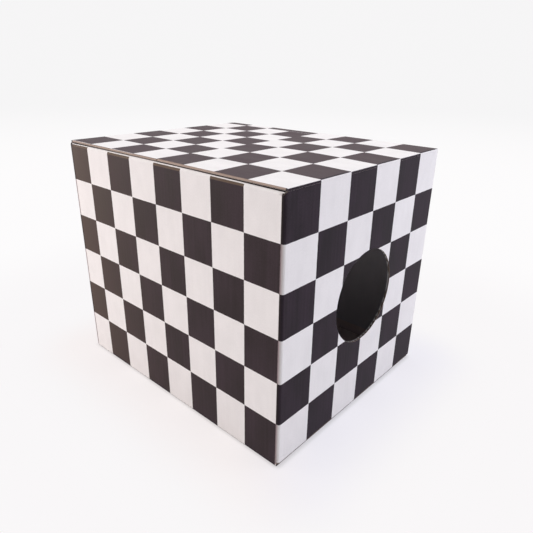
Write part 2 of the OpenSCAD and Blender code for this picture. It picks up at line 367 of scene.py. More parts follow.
def outer_flap_boards():
    """The four outer flaps, which meet at the seams."""
    flaps = [flap_board(end, side) for end, sides in OUTER_FLAPS.items() for side in sides]
    return [lifted_front_flap() if flap.name == "top_front_flap" else flap for flap in flaps]


def inner_flap_boards():
    """The four inner flaps, which lie behind the outer ones."""
    return [flap_board(end, side) for end, sides in INNER_FLAPS.items() for side in sides]


def pairs(first, second):
    """Grid of pairs from two grids of numbers."""
    return np.stack([first, second], axis=-1)


# The print: one checkerboard that runs over all folds. A square is inked where the whole parts of its
# two coordinates add up to an odd number.


def column_on(side, points):
    """Print coordinate along a wall and its flaps. The back and the left start with the other colour."""
    values = settings().print
    if side == "front":
        return (points[..., 0] + BOX_HALF_W - values.front_start) / values.front_cell
    if side == "back":
        return (points[..., 0] + BOX_HALF_W - values.back_start) / values.back_cell + 1
    column = (points[..., 1] + BOX_HALF_D - values.side_start) / values.side_cell
    return column + 1 if side == "left" else column


def row_on_wall(z):
    """Print coordinate up a wall, where the lowest and the highest row run on to the folds."""
    values = settings().print
    bow = values.row_bow * np.sin(np.pi * z / BOX_H)
    return np.clip((z - values.row_start - bow) / values.row_height, EDGE, ROWS - EDGE)


def print_on_wall(side, points):
    """Print coordinates of points on a wall."""
    return pairs(column_on(side, points), row_on_wall(points[..., 2]))


def print_on_flap(end, side, points):
    """Print coordinates of points on an outer flap of the top or the bottom."""
    values = settings().print
    column = column_on(side, points)
    out = np.array(WALL_OUT[side])
    edge = BOX_HALF_D if side in ("front", "back") else BOX_HALF_W
    depth = np.clip((edge - points @ out - values.flap_start) / values.flap_cell, EDGE, FLAP_ROWS - EDGE)
    if end == "top" and side == "back":
        # Past the last whole column, the square before the last one runs on to the seam
        last = np.minimum(depth, FLAP_ROWS - 1 - EDGE)
        depth = np.where(column > BACK_COLUMNS + 1, last, depth)
    row = ROWS + depth if end == "top" else -depth
    return pairs(column, row)


# Rubbing and painted light: pairs of the share of lighter ink (rubbed off with a painted highlight on the inner
# folds, a painted sheen on the side walls and outer flaps) and the share of painted shade that darkens the paper


def shade_along_fold(reach):
    """Share of painted shade at a distance along the surface from where an upright fold's curve starts."""
    return np.clip(1 - reach / settings().print.corner_shade_reach, 0, 1) ** SHADE_FADE


def painted_light_on_wall(side, points):
    """Painted light on a wall: side walls get a painted sheen on their ink that grows towards the back, and
    painted shade beside their upright folds.
    """
    values = settings().print
    painted_shade = np.zeros(points.shape[:-1])
    rubbed = np.zeros_like(painted_shade)
    if side in ("left", "right"):
        reach = values.side_start - (BOX_HALF_D - abs(points[..., 1]))
        painted_shade = np.where(reach > 0, shade_along_fold(reach), 0)
        # Painted sheen: the side walls' ink grows lighter towards the back
        rubbed = values.side_sheen + values.far_sheen * (points[..., 1] / BOX_HALF_D / 2 + 0.5) ** SHEEN_GROWTH
    return pairs(rubbed, painted_shade)


def wear_and_light_on_fold(side, points):
    """Fold of an inner flap: its ink is rubbed off and holds a painted highlight, but for its ends, which hold
    painted shade.
    """
    worn_and_sheen = painted_light_on_wall(side, points)
    worn_and_sheen[..., 0] = worn_and_sheen[..., 1] == 0
    return worn_and_sheen


def sheen_on_flap(points):
    """Painted sheen on an outer flap's ink, even all over."""
    worn_and_sheen = np.zeros((*points.shape[:-1], 2))
    worn_and_sheen[..., 0] = settings().print.flap_rub
    return worn_and_sheen


# Sheets: every skin is a thin closed sheet with a front, a back and four cut edges


def moved(points, matrix):
    """Points moved by a matrix."""
    turn = np.array(matrix.to_3x3())
    shift = np.array(matrix.translation)
    return points @ turn.T + shift


def sheet_faces(rows, columns):
    """Corner lists of the front, the back and the edges of a sheet of rows by columns of points."""
    number = np.arange(rows * columns).reshape(rows, columns)
    back = rows * columns
    front_faces = [
        (number[r, c], number[r, c + 1], number[r + 1, c + 1], number[r + 1, c])
        for r in range(rows - 1)
        for c in range(columns - 1)
    ]
    back_faces = [tuple(corner + back for corner in reversed(face)) for face in front_faces]
    rim = np.concatenate([number[0, :-1], number[:-1, -1], number[-1, :0:-1], number[:0:-1, 0]])
    edge_faces = [(b, a, a + back, b + back) for a, b in zip(rim, np.roll(rim, -1))]
    return front_faces, back_faces, edge_faces


def add_uv(mesh, name, values):
    """Stores the same pairs of coordinates on the front and the back of a sheet as a UV map."""
    layer = mesh.uv_layers.new(name=name)
    points = np.empty(len(mesh.loops), dtype=np.int32)
    mesh.loops.foreach_get("vertex_index", points)
    both = np.tile(values.reshape(-1, 2), (2, 1))
    layer.data.foreach_set("uv", both[points].astype(np.float32).ravel())


def new_piece(name, mesh):
    """Adds a mesh to the scene as a piece."""
    piece = bpy.data.objects.new(name, mesh)
    bpy.context.scene.collection.objects.link(piece)
    return piece


def sheet_piece(name, front, back, print_uv, flute_uv, skins, bands=None, wear_uv=None):
    """Closed sheet between two grids of points, with its print, its flutes, and its rubbing and painted light as
    UV maps.

    bands gives the skin of each row of front faces, which is the first one by default. The last skin is
    for the back and the edges.
    """
    rows, columns = front.shape[:2]
    front_faces, back_faces, edge_faces = sheet_faces(rows, columns)
    mesh = bpy.data.meshes.new(name)
    points = np.concatenate([front.reshape(-1, 3), back.reshape(-1, 3)])
    faces = [[int(corner) for corner in face] for face in front_faces + back_faces + edge_faces]
    mesh.from_pydata(points.tolist(), [], faces)
    add_uv(mesh, "print", print_uv)
    add_uv(mesh, "flutes", flute_uv)
    add_uv(mesh, "wear", np.zeros_like(print_uv) if wear_uv is None else wear_uv)
    for skin in skins:
        mesh.materials.append(skin)
    slots = np.full(len(faces), len(skins) - 1, dtype=np.int32)
    slots[:len(front_faces)] = 0 if bands is None else np.repeat(bands, columns - 1)
    mesh.polygons.foreach_set("material_index", slots)
    mesh.shade_smooth()
    mesh.set_sharp_from_angle(angle=SHEET_CREASE)
    return new_piece(name, mesh)


def liner_sheet(name, board, print_of, skins, wear_of=None, crown=0.0, bands=None):
    """Outer liner of a board: the flutes show through it, and its middle stands slightly proud.

    crown is the height by which the middle of its folded edge stands up.
    """
    values = settings().board
    columns = board.flutes() * values.liner_steps + 1
    share, along = np.meshgrid(np.linspace(0, 1, columns), np.linspace(0, 1, values.liner_rows + 1))
    flat = np.stack([(share - 0.5) * board.width, along * board.length, np.zeros_like(share)], axis=-1)
    turns = share * board.flutes()
    rise = values.front_flap_bow if board.name == "top_front_flap" else values.bow
    washboard = values.ripple * (1 - np.cos(2 * np.pi * turns)) / 2
    lift = crown * np.sin(np.pi * share) * (1 - along)
    bow = rise * np.sin(np.pi * share) * np.sin(np.pi * along)
    front = flat.copy()
    front[..., 2] = values.proud + washboard + bow + lift
    back = flat.copy()
    back[..., 2] = values.proud - LINER + lift
    level = moved(flat, board.level)
    flute_uv = pairs(turns, flat[..., 1] / values.flute_pitch)
    wear_uv = wear_of(level) if wear_of else None
    front, back = moved(front, board.place), moved(back, board.place)
    return sheet_piece(name, front, back, print_of(level), flute_uv, skins, bands, wear_uv)


def evaluated_mesh(piece):
    """Turns a piece with modifiers into a plain mesh of its own."""
    graph = bpy.context.evaluated_depsgraph_get()
    mesh = bpy.data.meshes.new_from_object(piece.evaluated_get(graph))
    mesh.name = piece.name
    piece.modifiers.clear()
    piece.data = mesh
    return piece


def cut_entrance(piece):
    """Cuts the round entrance through the front wall's printed liner."""
    cutter_mesh = bpy.data.meshes.new("entrance_cutter")
    shape = bmesh.new()
    place = Matrix.Translation((0, -BOX_HALF_D, ENTRANCE_Z)) @ Matrix.Rotation(math.pi / 2, 4, "X")
    bmesh.ops.create_cone(
        shape, cap_ends=True, segments=ROUND_STEPS, radius1=entrance_radius(), radius2=entrance_radius(),
        depth=4 * BOARD, matrix=place)
    for face in shape.faces:
        face.material_index = len(piece.data.materials) - 1
    shape.to_mesh(cutter_mesh)
    shape.free()
    for skin in piece.data.materials:
        cutter_mesh.materials.append(skin)
    cutter = new_piece("entrance_cutter", cutter_mesh)
    cut = piece.modifiers.new("Entrance", "BOOLEAN")
    cut.operation = "DIFFERENCE"
    cut.solver = "EXACT"
    cut.object = cutter
    evaluated_mesh(piece)
    bpy.data.objects.remove(cutter)
    piece.data.set_sharp_from_angle(angle=SHEET_CREASE)


def corner_sheet(name, middle, radius, levels, start, column, skins):
    """Printed sheet around an upright fold, a quarter turn from the angle start.

    levels gives the lower and the upper end of the sheet at both ends of the turn.
    """
    values = settings().board
    turn, share = np.meshgrid(
        np.linspace(0, 1, values.fold_steps + 1), np.linspace(0, 1, values.liner_rows + 1))
    low, high = (first + turn * (second - first) for first, second in zip(*levels))
    height = low + share * (high - low)
    angle = start + turn * np.pi / 2
    direction = np.stack([np.cos(angle), np.sin(angle), np.zeros_like(angle)], axis=-1)
    axis = np.stack([np.full_like(turn, middle[0]), np.full_like(turn, middle[1]), height], axis=-1)
    front = axis + direction * (radius + values.proud)
    back = axis + direction * (radius + values.proud - LINER)
    print_uv = pairs(np.full_like(turn, column), row_on_wall(height))
    flute_uv = pairs(turn, height / values.flute_pitch)
    # Painted shade along the upright fold, strongest on the side wall's half of the turn
    from_side = np.arcsin(np.clip(abs(direction[..., 1]), 0, 1)) * radius
    painted_shade = shade_along_fold(settings().print.side_start - BOARD + from_side)
    wear_uv = pairs(np.zeros_like(painted_shade), painted_shade)
    return sheet_piece(name, front, back, print_uv, flute_uv, skins, wear_uv=wear_uv)


def arc(start, end, steps):
    """Directions around a fold: out of the wall, and towards the end of the box."""
    angle = np.linspace(start, end, steps + 1)
    return pairs(np.cos(angle), np.sin(angle))


def fold_sheet(name, board, hinge, path, normals, print_of, skins, bands=None, wear_of=None, crown=0.0):
    """Sheet along a fold: a path across the fold runs along the whole width of a board.

    path and normals hold pairs: out of the wall, and towards the end of the box, from the hinge line.
    bands gives the skin of each row of faces, and crown how high the fold's middle stands up.
    """
    values = settings().board
    on_top = hinge.z > ENTRANCE_Z
    columns = board.flutes() + 1
    across = np.linspace(-0.5, 0.5, columns) * board.width
    along = np.array(board.level.to_3x3().col[0])
    out = np.array(board.level.to_3x3().col[2])
    rise = np.array(UP if on_top else -UP)
    start = np.array(hinge) + along * ((np.array(board.level.translation) - np.array(hinge)) @ along)
    line = start + across[None, :, None] * along
    bulge = np.linspace(0, 1, len(path))[:, None] * np.sin(np.pi * np.linspace(0, 1, columns)) * crown
    lay = path[:, None, 0, None] * out + (path[:, 1, None] + bulge)[..., None] * rise
    lean = normals[:, None, 0, None] * out + normals[:, None, 1, None] * rise
    front = line + lay + lean * values.proud
    back = line + lay + lean * (values.proud - values.fold_skin)
    turns = np.broadcast_to(np.arange(columns) * 1.0, front.shape[:2])
    reach = np.cumsum(np.linalg.norm(np.diff(path, axis=0, prepend=path[:1]), axis=1))
    flute_uv = pairs(turns, np.broadcast_to(reach[:, None] / values.flute_pitch, turns.shape))
    if not on_top:
        # The rows run the other way there, so that the front faces outwards
        front, back, flute_uv = front[::-1], back[::-1], flute_uv[::-1]
        bands = None if bands is None else bands[::-1]
    wear_uv = wear_of(front) if wear_of else None
    return sheet_piece(name, front, back, print_of(front), flute_uv, skins, bands, wear_uv)


# Materials


def new_material(name):
    """Empty procedural material with its shader."""
    made = bpy.data.materials.new(name)
    made.use_nodes = True
    return made, made.node_tree, made.node_tree.nodes["Principled BSDF"]


def add_node(tree, kind, inputs=None, **options):
    """Adds a node, sets its options, and sets or links its inputs by name or number."""
    node = tree.nodes.new(kind)
    for option, value in options.items():
        setattr(node, option, value)
    for socket, value in (inputs or {}).items():
        if isinstance(value, bpy.types.NodeSocket):
            tree.links.new(value, node.inputs[socket])
        else:
            node.inputs[socket].default_value = value
    return node


def math_node(tree, operation, first, second=0.0):
    """Result of one sum on two numbers."""
    return add_node(tree, "ShaderNodeMath", {0: first, 1: second}, operation=operation).outputs[0]


def product(tree, *factors):
    """Product of two or more numbers."""
    result = factors[0]
    for factor in factors[1:]:
        result = math_node(tree, "MULTIPLY", result, factor)
    return result


def weighted_sum(tree, *terms):
    """Sum of numbers, each of which comes with its weight."""
    result = product(tree, *terms[0])
    for value, weight in terms[1:]:
        result = math_node(tree, "ADD", result, product(tree, value, weight))
    return result


def vector_math(tree, operation, first, second=(0, 0, 0)):
    """Result of one sum on two vectors or colours."""
    return add_node(tree, "ShaderNodeVectorMath", {0: first, 1: second}, operation=operation).outputs[0]


def coordinate(tree, vector, axis):
    """One coordinate of a vector."""
    return add_node(tree, "ShaderNodeSeparateXYZ", {0: vector}).outputs[axis]


def mix_number(tree, factor, first, second):
    """Mix of two numbers."""
    return add_node(tree, "ShaderNodeMix", {"Factor": factor, 2: first, 3: second}).outputs[0]


def mix_colour(tree, factor, first, second):
    """Mix of two colours."""
    first, second = (
        value if isinstance(value, bpy.types.NodeSocket) else (*value, 1) for value in (first, second))
    inputs = {"Factor": factor, 6: first, 7: second}
    return add_node(tree, "ShaderNodeMix", inputs, data_type="RGBA").outputs[2]


def spread(tree, value, low, high):
    """Number from 0 to 1 spread between two values."""
    return add_node(tree, "ShaderNodeMapRange", {"Value": value, "To Min": low, "To Max": high}).outputs[0]


def ramp(tree, value, start, end, low=0.0, high=1.0):
    """Number that runs softly from low to high while a value runs from start to end."""
    inputs = {"Value": value, "From Min": start, "From Max": end, "To Min": low, "To Max": high}
    return add_node(tree, "ShaderNodeMapRange", inputs, interpolation_type="SMOOTHSTEP").outputs[0]


def noise(tree, vector, scale, stretch=(1, 1, 1), detail=3.0, output="Fac"):
    """Noise from 0 to 1 on coordinates that are stretched first."""
    place = add_node(tree, "ShaderNodeMapping", {"Vector": vector, "Scale": stretch}).outputs[0]
    inputs = {"Vector": place, "Scale": scale, "Detail": detail}
    return add_node(tree, "ShaderNodeTexNoise", inputs).outputs[output]


def uv_map(tree, name):
    """Coordinates of a piece's own UV map."""
    return add_node(tree, "ShaderNodeUVMap", uv_map=name).outputs[0]


def scaled(colour, factor):
    """Colour made lighter or darker."""
    return tuple(min(1.0, channel * factor) for channel in colour)


def set_surface(tree, shader, colour, roughness, grain, sheen, relief, strength):
    """Gives a shader its colour, its roughness, its grain as a bump, its sheen, and the bump's height."""
    tree.links.new(colour, shader.inputs["Base Color"])
    tree.links.new(roughness, shader.inputs["Roughness"])
    shader.inputs["Specular IOR Level"].default_value = sheen
    bump = add_node(tree, "ShaderNodeBump", {"Height": grain, "Distance": relief, "Strength": strength})
    tree.links.new(bump.outputs[0], shader.inputs["Normal"])


def checkered_ink(tree, flutes, fibres, streaks, worn_and_sheen):
    """Where the ink is, its colour and its roughness. Its edge wanders and its depth varies slightly."""
    values = settings().print
    wander = noise(tree, flutes, scale=1.3, output="Color")
    shift = vector_math(tree, "SUBTRACT", wander, (0.5, 0.5, 0.5))
    shift = vector_math(tree, "MULTIPLY", shift, (INK_WANDER, INK_WANDER, 0))
    place = vector_math(tree, "ADD", uv_map(tree, "print"), shift)
    inked = add_node(tree, "ShaderNodeTexChecker", {"Vector": place, "Scale": 1.0}).outputs["Fac"]
    clouds = noise(tree, flutes, scale=0.22, stretch=(1, 0.4, 1), detail=4.0)
    depth = weighted_sum(tree, (streaks, 0.2), (clouds, 0.45), (fibres, 0.35))
    depth = ramp(tree, depth, *NOISE_SPAN)
    ink = mix_colour(tree, depth, scaled(values.ink, 0.55), scaled(values.ink, 1.55))
    # Lighter ink: rubbed off with a painted highlight on the inner folds, and a painted sheen on the side walls
    # and outer flaps
    ink = mix_colour(tree, coordinate(tree, uv_map(tree, "wear"), "X"), ink, worn_and_sheen)
    return inked, ink, spread(tree, depth, 0.52, 0.68)


def printed_material(name, worn_and_sheen=None):
    """White liner paper, with the checkered ink if the colour of its lighter ink is given: rubbed-off ink with a
    painted highlight on the inner folds, a painted sheen elsewhere, and painted shade beside upright folds.
    """
    values = settings().print
    made, tree, shader = new_material(name)
    flutes = uv_map(tree, "flutes")
    fibres = noise(tree, flutes, scale=9.0, stretch=(1, 0.35, 1), detail=4.0)
    clouds = noise(tree, flutes, scale=0.35, stretch=(1, 0.5, 1))
    streaks = noise(tree, flutes, scale=2.2, stretch=(1, 0.02, 1), detail=2.0)
    tone = ramp(tree, weighted_sum(tree, (fibres, 0.45), (clouds, 0.4), (streaks, 0.15)), *NOISE_SPAN)
    colour = mix_colour(tree, tone, scaled(values.paper, 0.955), scaled(values.paper, 1.03))
    roughness = spread(tree, fibres, 0.62, 0.82)
    if worn_and_sheen:
        inked, ink, ink_roughness = checkered_ink(tree, flutes, fibres, streaks, worn_and_sheen)
        colour = mix_colour(tree, inked, colour, ink)
        # Painted shade: upright folds and the strips beside them are darkened
        darkened = vector_math(tree, "MULTIPLY", colour, values.corner_shade)
        colour = mix_colour(tree, coordinate(tree, uv_map(tree, "wear"), "Y"), colour, darkened)
        roughness = mix_number(tree, inked, roughness, ink_roughness)
    grain = weighted_sum(tree, (fibres, 0.5), (streaks, 0.8))
    set_surface(tree, shader, colour, roughness, grain, sheen=0.10, relief=0.00006, strength=0.7)
    return made


def kraft_material(name, colour, contrast, sheen=0.3, shaded=None):
    """Brown paper with long fibres, for the fluting, cut edges and crushed folds, and dark for painted shade.

    shaded gives two heights, between which the paper turns into painted shade from the upper one down.
    """
    made, tree, shader = new_material(name)
    place = add_node(tree, "ShaderNodeTexCoord").outputs["Object"]
    fibres = noise(tree, place, scale=900.0, stretch=(1, 1, 0.25), detail=4.0)
    flecks = noise(tree, place, scale=160.0)
    tone = weighted_sum(tree, (fibres, 0.6), (flecks, 0.4))
    paper = mix_colour(tree, tone, scaled(colour, 1 - contrast), scaled(colour, 1 + contrast))
    if shaded:
        lit = ramp(tree, coordinate(tree, place, "Z"), *shaded)
        paper = mix_colour(tree, lit, settings().print.shade, paper)
    roughness = spread(tree, fibres, 0.75, 0.95)
    set_surface(tree, shader, paper, roughness, fibres, sheen, relief=0.00008, strength=0.6)
    return made


def inside_paper(tree, place):
    """Colour of the grey liner paper, darkened as painted shade towards the floor, with a brownish floor darkened
    the same way, and its fibres.
    """
    values = settings().print
    height = coordinate(tree, place, "Z")
    above_floor = math_node(tree, "GREATER_THAN", height, values.shadowed)
    foot = mix_colour(tree, above_floor, values.inside_floor, values.inside_foot_shade)
    colour = mix_colour(tree, ramp(tree, height, values.shadowed, ENTRANCE_Z), foot, values.inside)
    fibres = noise(tree, place, scale=700.0, stretch=(1, 1, 0.3), detail=4.0)
    clouds = noise(tree, place, scale=60.0, stretch=(1, 1, 0.5))
    tone = spread(tree, weighted_sum(tree, (fibres, 0.4), (clouds, 0.6)), 0.88, 1.1)
    return vector_math(tree, "MULTIPLY", colour, tone), fibres


def set_inside_surface(tree, shader, colour, fibres):
    """Gives a shader a colour, with the sheen and the grain of the liner inside the box."""
    roughness = spread(tree, fibres, 0.58, 0.8)
    set_surface(tree, shader, colour, roughness, fibres, sheen=0.35, relief=0.00006, strength=0.6)


def facing(tree, normal, axis, least=0.7):
    """1 on the faces whose normal has at least that share along an axis."""
    lean = math_node(tree, "ABSOLUTE", coordinate(tree, normal, axis))
    return math_node(tree, "GREATER_THAN", lean, least)


def inside_material(name, flat_axis=None):
    """Grey liner inside the box, with its cut edges in deep brown painted shade if the axis out of its faces is
    given.
    """
    made, tree, shader = new_material(name)
    surface = add_node(tree, "ShaderNodeTexCoord").outputs
    colour, fibres = inside_paper(tree, surface["Object"])
    if flat_axis:
        # Deep brown painted shade on the cut edges: the entrance's rim and the flaps' edges
        edge = scaled(settings().print.kraft, 0.3)
        colour = mix_colour(tree, facing(tree, surface["Normal"], flat_axis), edge, colour)
    set_inside_surface(tree, shader, colour, fibres)
    return made


def fold_core_material(name, across, axis):
    """Crushed fold of an outer flap: bare paper outside its axis, grey liner with its painted shade inside it, and
    dark in the ink's colour at its ends.

    across names the coordinate across the fold, and axis is its value on the fold's axis.
    """
    values = settings().print
    made, tree, shader = new_material(name)
    surface = add_node(tree, "ShaderNodeTexCoord").outputs
    place = surface["Object"]
    inside, fibres = inside_paper(tree, place)
    flecks = noise(tree, place, scale=500.0)
    paper = mix_colour(tree, flecks, scaled(values.paper, 0.8), values.paper)
    ends = mix_colour(tree, flecks, scaled(values.ink, 0.6), scaled(values.ink, 1.4))
    distance = math_node(tree, "ABSOLUTE", coordinate(tree, place, across))
    core = mix_colour(tree, math_node(tree, "GREATER_THAN", distance, axis), inside, paper)
    along = "Y" if across == "X" else "X"
    colour = mix_colour(tree, facing(tree, surface["Normal"], along), core, ends)
    set_inside_surface(tree, shader, colour, fibres)
    return made


MATERIALS = {}


def material(name):
    """Material by its name, made when it is first asked for."""
    values = settings().print
    # Heights between which the lower part of the top flaps' cut edges turns into painted shade
    under_flap = (BOX_H - 0.95 * BOARD, BOX_H - 0.55 * BOARD)
    # Maker of each material and what it needs: for brown papers, the colour, the contrast and the sheen
    recipes = {
        "printed_liner": (printed_material, values.worn_and_sheen),
        "printed_flap": (printed_material, values.flap_worn),
        "white_liner": (printed_material,),
        "kraft_fluting": (kraft_material, values.kraft, 0.16),
        # Painted shade: the fluting darkens in the lower part of the top outer flaps' cut edges
        "flap_fluting": (kraft_material, values.kraft, 0.16, 0.3, under_flap),
        # Painted shade: the fluting is dark inside the entrance
        "entrance_fluting": (kraft_material, scaled(values.kraft, 0.35), 0.2),
        "cut_edge": (kraft_material, scaled(values.kraft, 1.1), 0.12),
        # Painted shade: the bottom flaps' cut edges are dark at the foot of the box
        "scuffed_edge": (kraft_material, scaled(values.kraft, 0.35), 0.25),
        "crushed_board": (kraft_material, scaled(values.kraft, 0.9), 0.2),
        # Painted shade: dark paper for the gap under the top outer flaps, the feet of the folds and the corner
        # folds
        "crease_shade": (kraft_material, values.shade, 0.3, 0.05),
        "grey_liner": (inside_material,),
        # Painted shade on the cut edges of the inner liners: the entrance's rim and the flaps' edges
        "entrance_liner": (inside_material, "Y"),
        "flap_liner": (inside_material, "Z"),
        "front_fold_core": (fold_core_material, "Y", HINGE["top_back_flap"].y),
        "side_fold_core": (fold_core_material, "X", HINGE["bottom_right_flap"].x),
    }
    if name not in MATERIALS:
        maker, *details = recipes[name]
        MATERIALS[name] = maker(name, *details)
    return MATERIALS[name]


def dress_node(node, name):
    """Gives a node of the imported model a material."""
    for slot in frame["nodes"][node].material_slots:
        slot.material = material(name)


# Fluting: one node tree bends a flat sheet into flutes, gives it its thickness and cuts the entrance

FLUTING_INPUTS = {
    "Width": "Float",
    "Length": "Float",
    "Flutes": "Int",
    "Steps": "Int",
    "Wave height": "Float",
    "Crest press": "Float",
    "Thickness": "Float",
    "Entrance radius": "Float",
    "Entrance height": "Float",
    "Material": "Material",
}
# Share of the sheet's width from its middle past which a point is on a cut end
CUT_END = 0.49999
# Points closer than this are one point, and the punch for the entrance is this long
WELD = 0.000001
PUNCH_DEPTH = 0.02


def wave_height(tree, given):
    """Height of the bent sheet: a wave with flat crests, of which the cut ends lie at the outer liner."""
    place = add_node(tree, "GeometryNodeInputPosition").outputs[0]
    across = math_node(tree, "DIVIDE", coordinate(tree, place, "X"), given["Width"])
    share = math_node(tree, "ADD", across, 0.5)
    angle = product(tree, share, given["Flutes"], 2 * math.pi)
    wave = product(tree, math_node(tree, "COSINE", angle), given["Crest press"])
    wave = math_node(tree, "MAXIMUM", math_node(tree, "MINIMUM", wave, 1.0), -1.0)
    from_middle = math_node(tree, "ABSOLUTE", math_node(tree, "SUBTRACT", share, 0.5))
    at_end = math_node(tree, "GREATER_THAN", from_middle, CUT_END)
    return product(tree, mix_number(tree, at_end, wave, -1.0), given["Wave height"], -1.0)


def shape_node(tree, kind, inputs, **options):
    """Geometry that one node makes."""
    return add_node(tree, f"GeometryNode{kind}", inputs, **options).outputs[0]


def shifted(tree, shape, axis, distance):
    """Geometry moved along one axis."""
    shift = add_node(tree, "ShaderNodeCombineXYZ", {axis: distance}).outputs[0]
    return shape_node(tree, "Transform", {"Geometry": shape, "Translation": shift})


def fluting_tree():
    """Geometry nodes that make the fluted sheet of one board, lying flat about the origin."""
    tree = bpy.data.node_groups.new("Fluted sheet", "GeometryNodeTree")
    sockets = {}
    for name, kind in FLUTING_INPUTS.items():
        socket = tree.interface.new_socket(name, in_out="INPUT", socket_type=f"NodeSocket{kind}")
        sockets[name] = socket.identifier
    tree.interface.new_socket("Geometry", in_out="OUTPUT", socket_type="NodeSocketGeometry")
    given = add_node(tree, "NodeGroupInput").outputs
    columns = math_node(tree, "ADD", product(tree, given["Flutes"], given["Steps"]), 1.0)
    flat = shape_node(tree, "MeshGrid", {
        "Size X": given["Width"], "Size Y": given["Length"], "Vertices X": columns, "Vertices Y": 2})
    offset = add_node(tree, "ShaderNodeCombineXYZ", {"Z": wave_height(tree, given)}).outputs[0]
    bent = shape_node(tree, "SetPosition", {"Geometry": flat, "Offset": offset})
    raised = shape_node(tree, "ExtrudeMesh", {
        "Mesh": bent, "Offset Scale": given["Thickness"], "Individual": False})
    both = add_node(tree, "GeometryNodeJoinGeometry", {0: raised})
    tree.links.new(shape_node(tree, "FlipFaces", {"Mesh": bent}), both.inputs[0])
    closed = shape_node(tree, "MergeByDistance", {"Geometry": both.outputs[0], "Distance": WELD})
    sheet = shifted(tree, closed, "Z", product(tree, given["Thickness"], -0.5))
    punch = shape_node(tree, "MeshCylinder", {
        "Vertices": ROUND_STEPS, "Radius": given["Entrance radius"], "Depth": PUNCH_DEPTH})
    punch = shifted(tree, punch, "Y", given["Entrance height"])
    cut = shape_node(tree, "MeshBoolean", {0: sheet, 1: punch}, operation="DIFFERENCE", solver="EXACT")
    has_entrance = math_node(tree, "GREATER_THAN", given["Entrance radius"], 0.0)
    chosen = shape_node(
        tree, "Switch", {"Switch": has_entrance, "False": sheet, "True": cut}, input_type="GEOMETRY")
    real = shape_node(tree, "RealizeInstances", {0: chosen})
    finished = shape_node(tree, "SetMaterial", {"Geometry": real, "Material": given["Material"]})
    add_node(tree, "NodeGroupOutput", {0: finished})
    return tree, sockets


def fluting_paper(board):
    """Material of a board's fluting, darker as painted shade in the entrance, in the lower part of the top outer
    flaps' cut edges and at the bottom.
    """
    if board.name == "front_wall":
        return "entrance_fluting"
    if board.name in ("top_front_flap", "top_back_flap"):
        return "flap_fluting"
    return "scuffed_edge" if board.name.startswith("bottom") else "kraft_fluting"


def fluting_piece(board, tree, sockets):
    """Fluted sheet of one board, made by the node tree and then set in its place."""
    values = settings().board
    name = f"{board.name}_fluted_sheet"
    piece = new_piece(name, bpy.data.meshes.new(name))
    modifier = piece.modifiers.new("Fluting", "NODES")
    modifier.node_group = tree
    inputs = {
        "Width": board.width,
        "Length": board.length,
        "Flutes": board.flutes(),
        "Steps": values.flute_steps,
        "Wave height": (BOARD - 2 * LINER - values.medium) / 2,
        "Crest press": CREST_PRESS,
        "Thickness": values.medium,
        "Entrance radius": entrance_radius() if board.name == "front_wall" else 0.0,
        "Entrance height": ENTRANCE_Z - (board.place @ Vector((0, board.length / 2, 0))).z,
        "Material": material(fluting_paper(board)),
    }
    for label, value in inputs.items():
        modifier[sockets[label]] = value
    evaluated_mesh(piece)
    piece.data.transform(board.place @ Matrix.Translation((0, board.length / 2, -BOARD / 2)))
    piece.data.shade_smooth()
    piece.data.set_sharp_from_angle(angle=FLUTE_CREASE)
    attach(piece, board.body)
    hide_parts(f"{board.name}_fluting")


# Steps


def dress_liner(piece, board):
    """Lets a liner sheet stand for its node and ride on its body."""
    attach(piece, board.body)
    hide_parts(f"{board.name}_outer_liner")


def folds_of(flaps):
    """End, side, flap, hinge point, and gap from the hinge to the flap's edge, for each flap."""
    for flap in flaps:
        end, side = flap.name.split("_")[:2]
        hinge = HINGE[flap.name]
        gap = abs((flap.level.translation - hinge).dot(WALL_OUT[side]))
        yield end, side, flap, hinge, gap


class CONDO_OT_printed_walls(bpy.types.Operator):
    """Prints the four walls, and cuts the round entrance through the front one"""

    bl_idname = "condo.printed_walls"
    bl_label = "Printed walls"

    def execute(self, context):
        skins = [material("printed_liner"), material("cut_edge")]
        for side in WALL_OUT:
            board = wall_board(side)
            piece = liner_sheet(
                f"{board.name}_print", board, lambda points: print_on_wall(side, points), skins,
                lambda points: painted_light_on_wall(side, points))
            if side == "front":
                cut_entrance(piece)
            dress_liner(piece, board)
        return {"FINISHED"}


class CONDO_OT_printed_corners(bpy.types.Operator):
    """Prints the upright folds between the walls"""

    bl_idname = "condo.printed_corners"
    bl_label = "Printed corners"

    def execute(self, context):
        room = settings().board.fold_room
        skins = [material("printed_liner")]
        front, back, left, right = (f"{side}_wall_outer_liner" for side in WALL_OUT)
        # Each corner's node, the angle at which its quarter turn starts, and the nodes it runs between
        corners = {
            "front_left": ("front_left_corner_fold", 180, (left, front)),
            "front_right": ("front_right_corner_fold", 270, (front, right)),
            "back_left": ("back_left_corner_fold", 90, (back, left)),
            "glued": ("glue_tab_fold", 0, ("glue_tab_fold", "glue_tab_fold")),
        }
        for name, (node, start, neighbours) in corners.items():
            low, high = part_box(node)
            toward_right = start in (270, 0)
            toward_back = start in (0, 90)
            middle = (low.x if toward_right else high.x, low.y if toward_back else high.y)
            ends = [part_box(neighbour) for neighbour in neighbours]
            foot = max(end_low.z for end_low, end_high in ends)
            levels = [(foot, end_high.z - room) for end_low, end_high in ends]
            column = column_on("back" if toward_back else "front", np.array(middle))
            piece = corner_sheet(
                f"{name}_corner_print", middle, high.x - low.x, levels, math.radians(start), column, skins)
            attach(piece, "sleeve")
            # The corner folds' own ends are dark with painted shade
            dress_node(node, "crease_shade")
        return {"FINISHED"}


